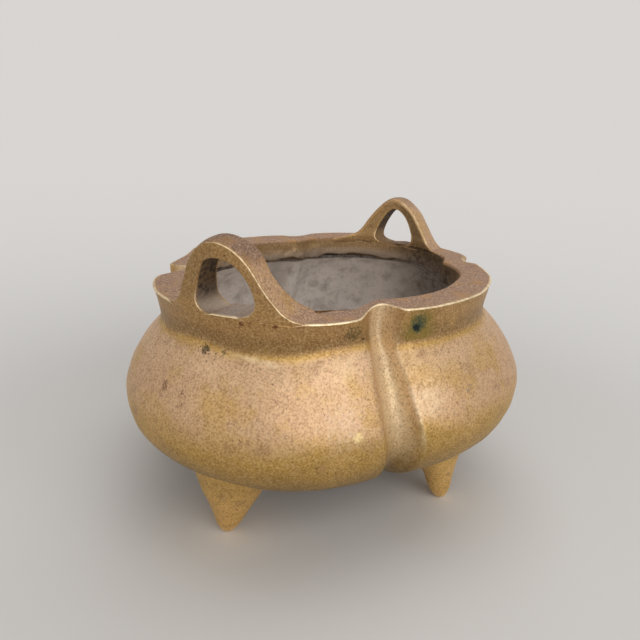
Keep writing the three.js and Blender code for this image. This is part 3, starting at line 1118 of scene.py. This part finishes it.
@dataclass
class Foot:
    """A small cone-shaped foot whose root flares into the belly's underside."""

    name: str
    angle: float
    reach: float
    stoutness: float
    lean: float = 0.2
    sides: int = 72
    profile: tuple = (
        (0.0, 0.9), (0.12, 1.3), (0.45, 1.8), (1.1, 2.35), (2.7, 3.3), (6.4, 5.2), (9.5, 6.7), (12.0, 7.9),
        (14.0, 8.9), (16.0, 9.9), (18.0, 10.8), (20.0, 11.5), (22.0, 12.0),
    )

    def build(self) -> bpy.types.Object:
        """Models the foot.

        Returns:
            The finished piece.
        """
        heights = np.concatenate([np.linspace(0, 1.2, 8)[:-1], np.linspace(1.2, 22, 56)])
        radii = np.interp(heights, [z for z, _ in self.profile], [r for _, r in self.profile])
        radii = radii * (1 + (self.stoutness - 1) * smooth(heights, 0, 8))
        turns = np.linspace(0, 2 * math.pi, self.sides, endpoint=False)
        c, s = math.cos(self.angle), math.sin(self.angle)
        x = self.reach - self.lean * heights[:, None] + radii[:, None] * np.cos(turns)
        y = radii[:, None] * np.sin(turns)
        grid = np.stack([x * c - y * s, x * s + y * c, np.repeat(heights[:, None], self.sides, 1)], -1)
        grid[..., 2] = np.minimum(grid[..., 2], self._root(grid) + 0.02 * heights[:, None])
        lumps = 0.16 * unevenness(grid.reshape(-1, 3), 13, 51).reshape(x.shape) * smooth(heights, 0.5, 4)[:, None]
        middle = grid.mean(1, keepdims=True)
        outward = grid - middle
        grid = grid + outward / (np.linalg.norm(outward, axis=-1, keepdims=True) + 1e-9) * lumps[..., None]
        # The foot darkens towards its root in painted shade where it meets the belly
        rows = {"worn": 0.4 * (1 - smooth(heights, 0.5, 3.5)), "level": 0.38 - 0.08 * smooth(heights, 12, 17)}
        marks = {name: np.repeat(values[:, None], self.sides, 1) for name, values in rows.items()}
        return finish_mesh(ring_stack(self.name + "_cone", grid, grid[0].mean(0), grid[-1].mean(0), marks), CREASE)

    def _root(self, grid: np.ndarray) -> np.ndarray:
        """Height inside the belly's wall at which the foot's root ends.

        Args:
            grid: The foot's places.

        Returns:
            One height for each place.
        """
        share = np.hypot(grid[..., 0], grid[..., 1]) / BELLY.reach(turn_of(grid), 20.0, 0.0)
        rise = rounded_out(np.minimum(share, 0.99), UNDERSIDE_ROUNDNESS)
        return BELLY_WIDEST + (FLOOR_UNDER - BELLY_WIDEST) * rise + 1.6


# Finishes


def linear(code: str) -> tuple:
    """An sRGB hex colour as linear red, green, blue and alpha."""
    values = [int(code[i : i + 2], 16) / 255 for i in (1, 3, 5)]
    return tuple(v / 12.92 if v <= 0.04045 else ((v + 0.055) / 1.055) ** 2.4 for v in values) + (1.0,)


class Kind(Enum):
    """Kinds of node: type, own settings, the inputs in the order in which add fills them, and the output it returns."""

    PLACE = ("ShaderNodeTexCoord", {}, (), "Object")
    MARK = ("ShaderNodeAttribute", {}, (), "Fac")
    SHIFT = ("ShaderNodeMapping", {}, ("Vector", "Location"), "Vector")
    NOISE = ("ShaderNodeTexNoise", {}, ("Vector", "Scale", "Detail", "Roughness"), "Fac")
    CELLS = ("ShaderNodeTexVoronoi", {}, ("Vector", "Scale"), "Distance")
    STEP = ("ShaderNodeMapRange", {"interpolation_type": "SMOOTHSTEP"}, (0, 1, 2, 3, 4), 0)
    TINT = ("ShaderNodeMix", {"data_type": "RGBA"}, (0, 6, 7), 2)
    PLUS = ("ShaderNodeMath", {"operation": "ADD"}, (0, 1), 0)
    TIMES = ("ShaderNodeMath", {"operation": "MULTIPLY"}, (0, 1), 0)
    OVER = ("ShaderNodeMath", {"operation": "DIVIDE"}, (0, 1), 0)
    LARGER = ("ShaderNodeMath", {"operation": "MAXIMUM"}, (0, 1), 0)
    GAP = ("ShaderNodeVectorMath", {"operation": "DISTANCE"}, (0, 1), "Value")
    LENGTH = ("ShaderNodeVectorMath", {"operation": "LENGTH"}, (0,), "Value")
    RELIEF = ("ShaderNodeBump", {}, ("Strength", "Distance", "Height"), 0)
    SURFACE = (
        "ShaderNodeBsdfPrincipled", {}, ("Base Color", "Metallic", "Roughness", "Specular IOR Level", "Normal"), 0,
    )
    GLOW = ("ShaderNodeEmission", {}, ("Color", "Strength"), 0)
    SKY = ("ShaderNodeBackground", {}, ("Color", "Strength"), 0)
    EITHER = ("ShaderNodeMixShader", {}, (0, 1, 2), 0)
    TO_CAMERA = ("ShaderNodeLightPath", {}, (), "Is Camera Ray")
    TO_GLOSS = ("ShaderNodeLightPath", {}, (), "Is Glossy Ray")
    THROUGH_GLASS = ("ShaderNodeLightPath", {}, (), "Is Transmission Ray")
    MATERIAL = ("ShaderNodeOutputMaterial", {}, ("Surface",), None)
    WORLD = ("ShaderNodeOutputWorld", {}, ("Surface",), None)


def add(tree: bpy.types.NodeTree, kind: Kind, *values: object, **settings: object) -> Optional[bpy.types.NodeSocket]:
    """Adds a node with its settings and links.

    Args:
        tree: The node tree.
        kind: The kind of node.
        values: Numbers, colours or sockets for its inputs, in the kind's order.
        settings: Own properties beside those of the kind.

    Returns:
        The node's output, or nothing for an output node.
    """
    node_type, own, inputs, output = kind.value
    node = tree.nodes.new(node_type)
    for name, value in {**own, **settings}.items():
        setattr(node, name, value)
    for key, value in zip(inputs, values):
        if isinstance(value, bpy.types.NodeSocket):
            tree.links.new(value, node.inputs[key])
        else:
            node.inputs[key].default_value = value
    return None if output is None else node.outputs[output]


def empty_tree(owner: bpy.types.ID) -> bpy.types.NodeTree:
    """Gives a material or a world a node tree with nothing in it.

    Args:
        owner: The material or world.

    Returns:
        Its node tree.
    """
    owner.use_nodes = True
    owner.node_tree.nodes.clear()
    return owner.node_tree


@dataclass(frozen=True)
class Spot:
    """A mark at one place on the surface, its edges broken up by grain: mostly stains, and on the belly two painted
    highlights.
    """

    place: tuple
    radius: float
    colour: str
    strength: float = 0.8
    grain: float = 0.8
    core: float = 0.16
    soft: float = 0.1


NECK_STAINS = (
    Spot((-27.0, -40.2, 61.8), 9.0, "#84762c", 0.65, 0.8, 0.24, 0.3),
    Spot((-27.6, -39.8, 63.2), 5.6, "#5b633f", 0.6, 0.45, 0.16),
    Spot((-27.6, -39.8, 62.6), 4.4, "#3a4d3f", 0.75, 0.5, 0.18),
    Spot((-28.0, -39.4, 61.8), 1.9, "#1d2826", 0.95, 0.9, 0.22),
    Spot((-43.4, -29.8, 62.4), 5.0, "#4c4a2a", 0.6, 0.6, 0.14),
    Spot((-40.3, -31.0, 60.4), 1.3, "#2b2013", 0.9, 0.5),
    Spot((-60.0, -9.4, 65.0), 1.6, "#5c2420", 0.75, 1.1, 0.22, 0.16),
    Spot((-59.5, -11.4, 65.9), 0.8, "#5c2420", 0.6, 0.9, 0.24, 0.16),
    Spot((-58.6, -14.2, 64.8), 1.0, "#561d1d", 0.6, 1.2, 0.24, 0.16),
    Spot((-57.3, -16.9, 65.2), 2.0, "#561d1d", 0.75, 1.2, 0.2, 0.16),
)
BELLY_STAINS_AND_HIGHLIGHTS = (
    Spot((-59.7, 0.8, 57.2), 2.6, "#3b3323", 0.85, 0.6),
    Spot((-59.4, -4.2, 57.2), 1.4, "#3b3323", 0.8, 0.6),
    Spot((-66.2, 3.2, 48.2), 2.0, "#5b2f31", 0.85, 0.6, 0.18),
    Spot((-65.4, 9.4, 47.9), 3.2, "#6a4238", 0.7, 0.5, 0.16),
    # Painted highlight on the near lobe beside the front flute
    Spot((-52.0, -32.4, 44.0), 10.0, "#e6ccb2", 0.4, 1.2, 0.1, 0.4),
    Spot((-47.0, -29.5, 55.0), 5.5, "#e2c99c", 0.45, 1.0, 0.1, 0.4),
    # Painted highlight on the right lobe beside the front flute
    Spot((-33.0, -46.2, 46.0), 9.0, "#f4d9b2", 0.6, 1.2, 0.1, 0.4),
    Spot((-50.7, -35.9, 40.6), 2.3, "#fbe3a0", 0.7, 0.6, 0.18, 0.3),
    Spot((-21.3, -53.3, 46.8), 3.4, "#8a7a70", 0.6, 0.9),
    Spot((-57.6, -24.0, 50.4), 2.0, "#8f7c6c", 0.6, 0.7),
    Spot((-65.4, -10.0, 47.7), 1.6, "#857463", 0.6, 0.7),
    Spot((-22.5, -44.6, 55.3), 0.9, "#443724", 0.8, 0.6),
)

SPOTS = {"belly_bronze": BELLY_STAINS_AND_HIGHLIGHTS, "neck_bronze": NECK_STAINS, "handle_bronze": NECK_STAINS[4:]}
# The feet's tones; their dark underside colour shows towards the roots as painted shade
TONES = {"foot_bronze": {"golden": "#e4b868", "under": "#8f7040", "pink": "#e2b878"}}

# Size in mm, detail, roughness and seed. Clouds and blotches are patches of patina, and mottle is the uneven skin
# that the mould leaves. The grain of the mould's sand is about 0.2 mm, too fine to show, and is drawn 0.52 mm coarse.
PATTERNS = {
    "clouds": (16, 3, 0.6, 0.3),
    "blotch": (6, 4, 0.6, 0.9),
    "mottle": (1.7, 3, 0.65, 1.7),
    "grain": (0.52, 2, 0.7, 2.3),
}
PIT_SPACING = 2.6
SPOT_EDGE = 0.6
RELIEF_DEPTH = 0.4
SPECULAR = 0.25

# Starting values, and what each mark or pattern adds to them
ROUGHNESS = (0.4, ("mottle", 0.16), ("dull", 0.3), ("rubbing", -0.12))
METALLIC = (0.62, ("dull", -0.6), ("pits", -0.3), ("flute", -0.22))
RELIEF_HEIGHT = (0.0, ("mottle", 0.4), ("grain", 0.4), ("pits", -0.4))
RELIEF_STRENGTH = (0.16, ("dull", 0.35))


# Bronze poured in a sand mould, filed and rubbed smooth, then browned by smoke and hands for many years. To the eye
# that is a satin metal without sharp reflections: golden where it is thin or rubbed, pinkish brown under the patina,
# pale along worn edges where painted glints lie, darker towards the bottom and in recesses in painted shade, and
# peppered with dark pits where the sand left holes.
@dataclass(frozen=True)
class CastBronze:
    """Old cast bronze, handled for years: a satin skin with zones of patina, pits and worn edges, with painted glints
    and painted shade.
    """

    name: str
    spots: tuple = ()
    golden: str = "#c89f50"
    olive: str = "#b28b55"
    pink: str = "#d3ac86"
    crest: str = "#e6c29c"
    brown: str = "#a27b57"
    dark_patina_and_shade: str = "#937345"
    # Dark colour towards the bottom: painted shade and painted reflection under the belly
    under: str = "#46351f"
    # Pale cream of rubbed metal, which the edges also take as painted glints
    rubbed_and_glint: str = "#ffe9c0"
    grit: str = "#b08e76"
    ash: str = "#ebe2da"

    def build(self) -> bpy.types.Material:
        """Makes the material.

        Returns:
            The material, ready for a piece.
        """
        material = bpy.data.materials.new(self.name)
        tree = empty_tree(material)
        place = add(tree, Kind.PLACE)
        at = self._sources(tree, place)
        colour = self._layered(tree, at, linear(self.under), self._patina())
        gritty = self._layered(tree, at, linear(self.grit), (
            ("#7d6052", ("grain", 0.42, 0.7)),
            ("#dcc0a8", ("grain", 0.42, 0.32, 0.0, 0.8)),
            ("#b98d5c", ("blotch", 0.5, 0.35, 0.0, 0.6)),
        ))
        colour = self._layered(tree, at, colour, ((gritty, "grit", 0.9), ("#3d2c1f", "pits", 0.8)))
        for spot in self.spots:
            gap = add(tree, Kind.GAP, place, [v * MM for v in spot.place])
            near = add(tree, Kind.STEP, gap, spot.radius * MM, 0.2 * spot.radius * MM, -0.2, spot.core)
            at["edge"] = add(tree, Kind.PLUS, near, at[spot])
            low, high = SPOT_EDGE - spot.soft / 2, SPOT_EDGE + spot.soft / 2
            colour = self._layered(tree, at, colour, ((spot.colour, ("edge", low, high, 0.0, spot.strength)),))
        ashy = self._layered(tree, at, linear(self.ash), (
            ("#a89d92", ("blotch", 0.42, 0.75, 0.0, 0.7)),
            ("#b3a79b", ("mottle", 0.48, 0.68, 0.0, 0.3)),
        ))
        # Rubbed metal with painted glints on the edges, ash inside, then soot with painted shade
        smoky = ("mottle", 0.35, 0.6, 1.0, 0.75)
        layers = ((self.rubbed_and_glint, "rubbing"), (ashy, "ash"), ("#3c3027", "soot", smoky))
        colour = self._layered(tree, at, colour, layers)
        sums = []
        for total, *parts in (ROUGHNESS, METALLIC, RELIEF_HEIGHT, RELIEF_STRENGTH):
            for name, weight in parts:
                total = add(tree, Kind.PLUS, total, add(tree, Kind.TIMES, at[name], weight))
            sums.append(total)
        roughness, metallic, height, strength = sums
        relief = add(tree, Kind.RELIEF, strength, RELIEF_DEPTH * MM, height)
        shader = add(tree, Kind.SURFACE, colour, metallic, roughness, SPECULAR, relief)
        add(tree, Kind.MATERIAL, shader)
        return material

    def _sources(self, tree: bpy.types.NodeTree, place: bpy.types.NodeSocket) -> dict:
        """Makes the patterns and reads the marks that the colours follow.

        Args:
            tree: The node tree.
            place: The socket of Object coordinates.

        Returns:
            Sockets by name, and the pattern that breaks up each spot by the spot.
        """
        at = {name: add(tree, Kind.MARK, attribute_name=name) for name in MARKS}
        patterns = {**PATTERNS, **{spot: (spot.grain, 3, 0.7, spot.radius) for spot in self.spots}}
        for key, (size, detail, roughness, seed) in patterns.items():
            shifted = add(tree, Kind.SHIFT, place, (seed, seed * 0.7, -seed))
            at[key] = add(tree, Kind.NOISE, shifted, 1 / (size * MM), detail, roughness)
        at["cells"] = add(tree, Kind.CELLS, place, 1 / (PIT_SPACING * MM))
        waves = add(tree, Kind.TIMES, add(tree, Kind.PLUS, at["clouds"], -0.5), 0.16)
        at["wavy"] = add(tree, Kind.PLUS, at["level"], waves)
        large = self._product(tree, at, (("cells", 0.1, 0.05), ("blotch", 0.48, 0.58)))
        at["pits"] = add(tree, Kind.LARGER, large, self._product(tree, at, (("grain", 0.685, 0.74),)))
        at["rubbing"] = self._product(tree, at, ("worn", ("mottle", 0.4, 0.62, 1.0, 0.5)))
        dull = add(tree, Kind.LARGER, at["ash"], add(tree, Kind.TIMES, at["grit"], 0.6))
        at["dull"] = add(tree, Kind.LARGER, dull, at["soot"])
        return at

    def _patina(self) -> tuple:
        """The patina's colours by height and in patches, each over the one before, with the factors of its share.

        Returns:
            Golden lower belly over the dark underside of painted shade, pinkish belly, pale crest, olive neck over a
            band of darker patina with painted shade, patches, flutes with a pale painted highlight, and grain.
        """
        return (
            # The golden layer thins towards the bottom, letting the dark underside colour through as painted shade and
            # painted reflection
            (self.golden, ("wavy", 0.12, 0.4)),
            (self.pink, ("wavy", 0.34, 0.44), ("level", 0.575, 0.55), ("clouds", 0.64, 0.5, 0.45, 1.0),
             ("flute", 0, 1, 1.0, 0.4)),
            (self.crest, ("level", 0.49, 0.535), ("level", 0.572, 0.555), ("blotch", 0.35, 0.6, 0.1, 0.6)),
            (self.olive, ("level", 0.566, 0.582)),
            # A band of darker patina low on the neck, with painted shade where the neck rises from the shoulder
            (self.dark_patina_and_shade, ("level", 0.572, 0.59), ("level", 0.64, 0.605), 0.75),
            (self.brown, ("blotch", 0.52, 0.74, 0.0, 0.5)),
            (self.golden, ("blotch", 0.42, 0.28, 0.0, 0.4)),
            # Pale cream along the flutes' middles: a lighter patina with a painted highlight on their floors
            ("#ecd4ae", "flute", 0.72),
            (self.brown, ("mottle", 0.5, 0.72, 0.0, 0.35)),
            (self.crest, ("mottle", 0.46, 0.3, 0.0, 0.18)),
            ("#6b5038", ("grain", 0.46, 0.72, 0.0, 0.46)),
            ("#f7ddb0", ("grain", 0.54, 0.3, 0.0, 0.26)),
        )

    def _layered(self, tree: bpy.types.NodeTree, at: dict, colour: object, layers: tuple) -> bpy.types.NodeSocket:
        """Lays colours over one another.

        Args:
            tree: The node tree.
            at: Sockets by name.
            colour: The lowest colour.
            layers: For each layer its colour, as a hex code or a socket, and the factors of its share.

        Returns:
            The colour of all layers together.
        """
        for tone, *factors in layers:
            tone = linear(tone) if isinstance(tone, str) else tone
            colour = add(tree, Kind.TINT, self._product(tree, at, factors), colour, tone)
        return colour

    def _product(self, tree: bpy.types.NodeTree, at: dict, factors: tuple) -> object:
        """Multiplies factors with one another.

        Args:
            tree: The node tree.
            at: Sockets by name.
            factors: Numbers, names, or smooth steps as a name with low, high, least and most.

        Returns:
            The product's socket.
        """
        product = None
        for factor in factors:
            if isinstance(factor, str):
                factor = at[factor]
            elif isinstance(factor, tuple):
                factor = add(tree, Kind.STEP, at[factor[0]], *factor[1:])
            product = factor if product is None else add(tree, Kind.TIMES, product, factor)
        return product


BACKDROP = "#d8d5d2"


def seen_rays(tree: bpy.types.NodeTree) -> bpy.types.NodeSocket:
    """1 for rays that show the background, to the camera or in metal and glass."""
    seen = add(tree, Kind.LARGER, add(tree, Kind.TO_CAMERA), add(tree, Kind.TO_GLOSS))
    return add(tree, Kind.LARGER, seen, add(tree, Kind.THROUGH_GLASS))


# Matt emulsion paint rolled on a board. It has no gloss or grain that the eye would catch beside the bronze.
@dataclass(frozen=True)
class PaintedFloor:
    """Matt pale studio floor that fades into the background between two distances in metres, without a horizon."""

    name: str = "pale_studio_floor"
    colour: str = "#e8e6e3"
    fade_from: float = 0.12
    fade_to: float = 1.6
    roughness: float = 0.85
    specular: float = 0.3

    def build(self) -> bpy.types.Material:
        """Makes the material.

        Returns:
            The material, ready for the floor.
        """
        material = bpy.data.materials.new(self.name)
        tree = empty_tree(material)
        nearness = add(tree, Kind.OVER, 1.0, add(tree, Kind.LENGTH, add(tree, Kind.PLACE)))
        away = add(tree, Kind.STEP, nearness, 1 / self.fade_from, 1 / self.fade_to)
        coat = add(tree, Kind.SURFACE, linear(self.colour), 0.0, self.roughness, self.specular)
        glow = add(tree, Kind.GLOW, linear(BACKDROP), 1.0)
        add(tree, Kind.MATERIAL, add(tree, Kind.EITHER, add(tree, Kind.TIMES, away, seen_rays(tree)), coat, glow))
        return material


# Studio


@dataclass(frozen=True)
class Lamp:
    """A soft square lamp: degrees round from the camera's side and up, distance and size in metres, and watts."""

    name: str
    turn: float
    height: float
    distance: float
    size: float
    power: float


LAMPS = (
    Lamp("key", 33, 27, 1.0, 1.1, 5.1),
    Lamp("fill", -48, 27, 1.0, 1.0, 0.9),
    Lamp("overhead", 150, 78, 0.9, 0.9, 2.5),
)


@dataclass
class Studio:
    """Floor, lamps, sky, and the camera at the photograph's viewing angle: place in m, roll in degrees, lens in mm."""

    camera_place: tuple = (-0.1630, -0.0841, 0.1089)
    ahead: tuple = (0.8386, 0.4455, -0.3136)
    side: tuple = (0.4692, -0.8831, 0.0)
    roll: float = 2.618
    lens: float = 33.75
    sensor: float = 36
    nearest: float = 0.005
    aim_height: float = 0.04
    floor_size: float = 6
    floor_drop: float = 0.0001
    sky: str = "#dcdad8"
    sky_strength: float = 0.38

    def build(self) -> None:
        """Sets the whole studio up."""
        self._floor()
        self._lamps()
        self._sky()
        self._camera()
        bpy.context.scene.view_settings.view_transform = "Standard"

    def _floor(self) -> None:
        """Lays the floor just under the feet."""
        deselect_all()
        bpy.ops.mesh.primitive_plane_add(size=self.floor_size, location=(0, 0, -self.floor_drop))
        floor = bpy.context.object
        floor.name = "studio_floor"
        floor.data.materials.append(PaintedFloor().build())

    def _lamps(self) -> None:
        """Hangs the lamps round the burner, aimed at its middle."""
        ahead = math.degrees(math.atan2(-self.ahead[1], -self.ahead[0]))
        for lamp in LAMPS:
            light = bpy.data.lights.new(lamp.name, "AREA")
            light.energy, light.size = lamp.power, lamp.size
            hung = bpy.data.objects.new(lamp.name, light)
            a, b = math.radians(ahead + lamp.turn), math.radians(lamp.height)
            hung.location = Vector((math.cos(a) * math.cos(b), math.sin(a) * math.cos(b), math.sin(b))) * lamp.distance
            hung.rotation_euler = (Vector((0, 0, self.aim_height)) - hung.location).to_track_quat("-Z", "Y").to_euler()
            bpy.context.scene.collection.objects.link(hung)

    def _sky(self) -> None:
        """Lights from all round, and shows the pale backdrop to the camera."""
        world = bpy.data.worlds.new("studio_sky")
        tree = empty_tree(world)
        soft = add(tree, Kind.SKY, linear(self.sky), self.sky_strength)
        pale = add(tree, Kind.SKY, linear(BACKDROP), 1.0)
        add(tree, Kind.WORLD, add(tree, Kind.EITHER, seen_rays(tree), soft, pale))
        bpy.context.scene.world = world

    def _camera(self) -> None:
        """Sets the camera where the photograph was taken from."""
        data = bpy.data.cameras.new("camera")
        data.lens = self.lens
        data.sensor_width = self.sensor
        data.clip_start = self.nearest
        camera = bpy.data.objects.new("camera", data)
        ahead, side = Vector(self.ahead).normalized(), Vector(self.side).normalized()
        over = side.cross(ahead)
        roll = math.radians(self.roll)
        side, over = math.cos(roll) * side + math.sin(roll) * over, math.cos(roll) * over - math.sin(roll) * side
        camera.matrix_world = Matrix.Translation(self.camera_place) @ Matrix((side, over, -ahead)).transposed().to_4x4()
        bpy.context.scene.collection.objects.link(camera)
        bpy.context.scene.camera = camera


FOOT_TWIST = math.radians(-2.5)
FEET = (
    Foot("foot_right", FOOT_TWIST, 50.0, 0.86),
    Foot("foot_rear", QUARTER + FOOT_TWIST, 43.5, 1.0),
    Foot("foot_left", math.pi + FOOT_TWIST, 50.0, 1.0),
    Foot("foot_front", -QUARTER + FOOT_TWIST, 43.5, 0.76),
)


def main() -> None:
    """Builds every piece and the studio, and hides the imported parts that the pieces replace."""
    logging.basicConfig(level=logging.INFO, format="%(message)s")
    materials = {}
    for slot in [row["slot"] for row in frame["record"]["materials"]]:
        materials[slot] = CastBronze("cast_" + slot, SPOTS.get(slot, ()), **TONES.get(slot, {})).build()
    skin = Skin(quarter_turns(lobe_steps=34, flute_steps=44))
    pieces = [
        (Bowl(skin), "bowl", "belly_bronze"),
        (NeckRim(skin), "neck_rim", "neck_bronze"),
        (Handle(FAR_HANDLE), "handle_right", "handle_bronze"),
        (Handle(NEAR_HANDLE), "handle_left", "handle_bronze"),
    ]
    for maker, node, slot in pieces + [(foot, foot.name, "foot_bronze") for foot in FEET]:
        piece = maker.build()
        piece.data.materials.clear()
        piece.data.materials.append(materials[slot])
        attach(piece, "root")
        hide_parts(node)
        LOG.info("%s: %d faces", piece.name, len(piece.data.polygons))
    Studio().build()


if __name__ == "__main__":
    main()
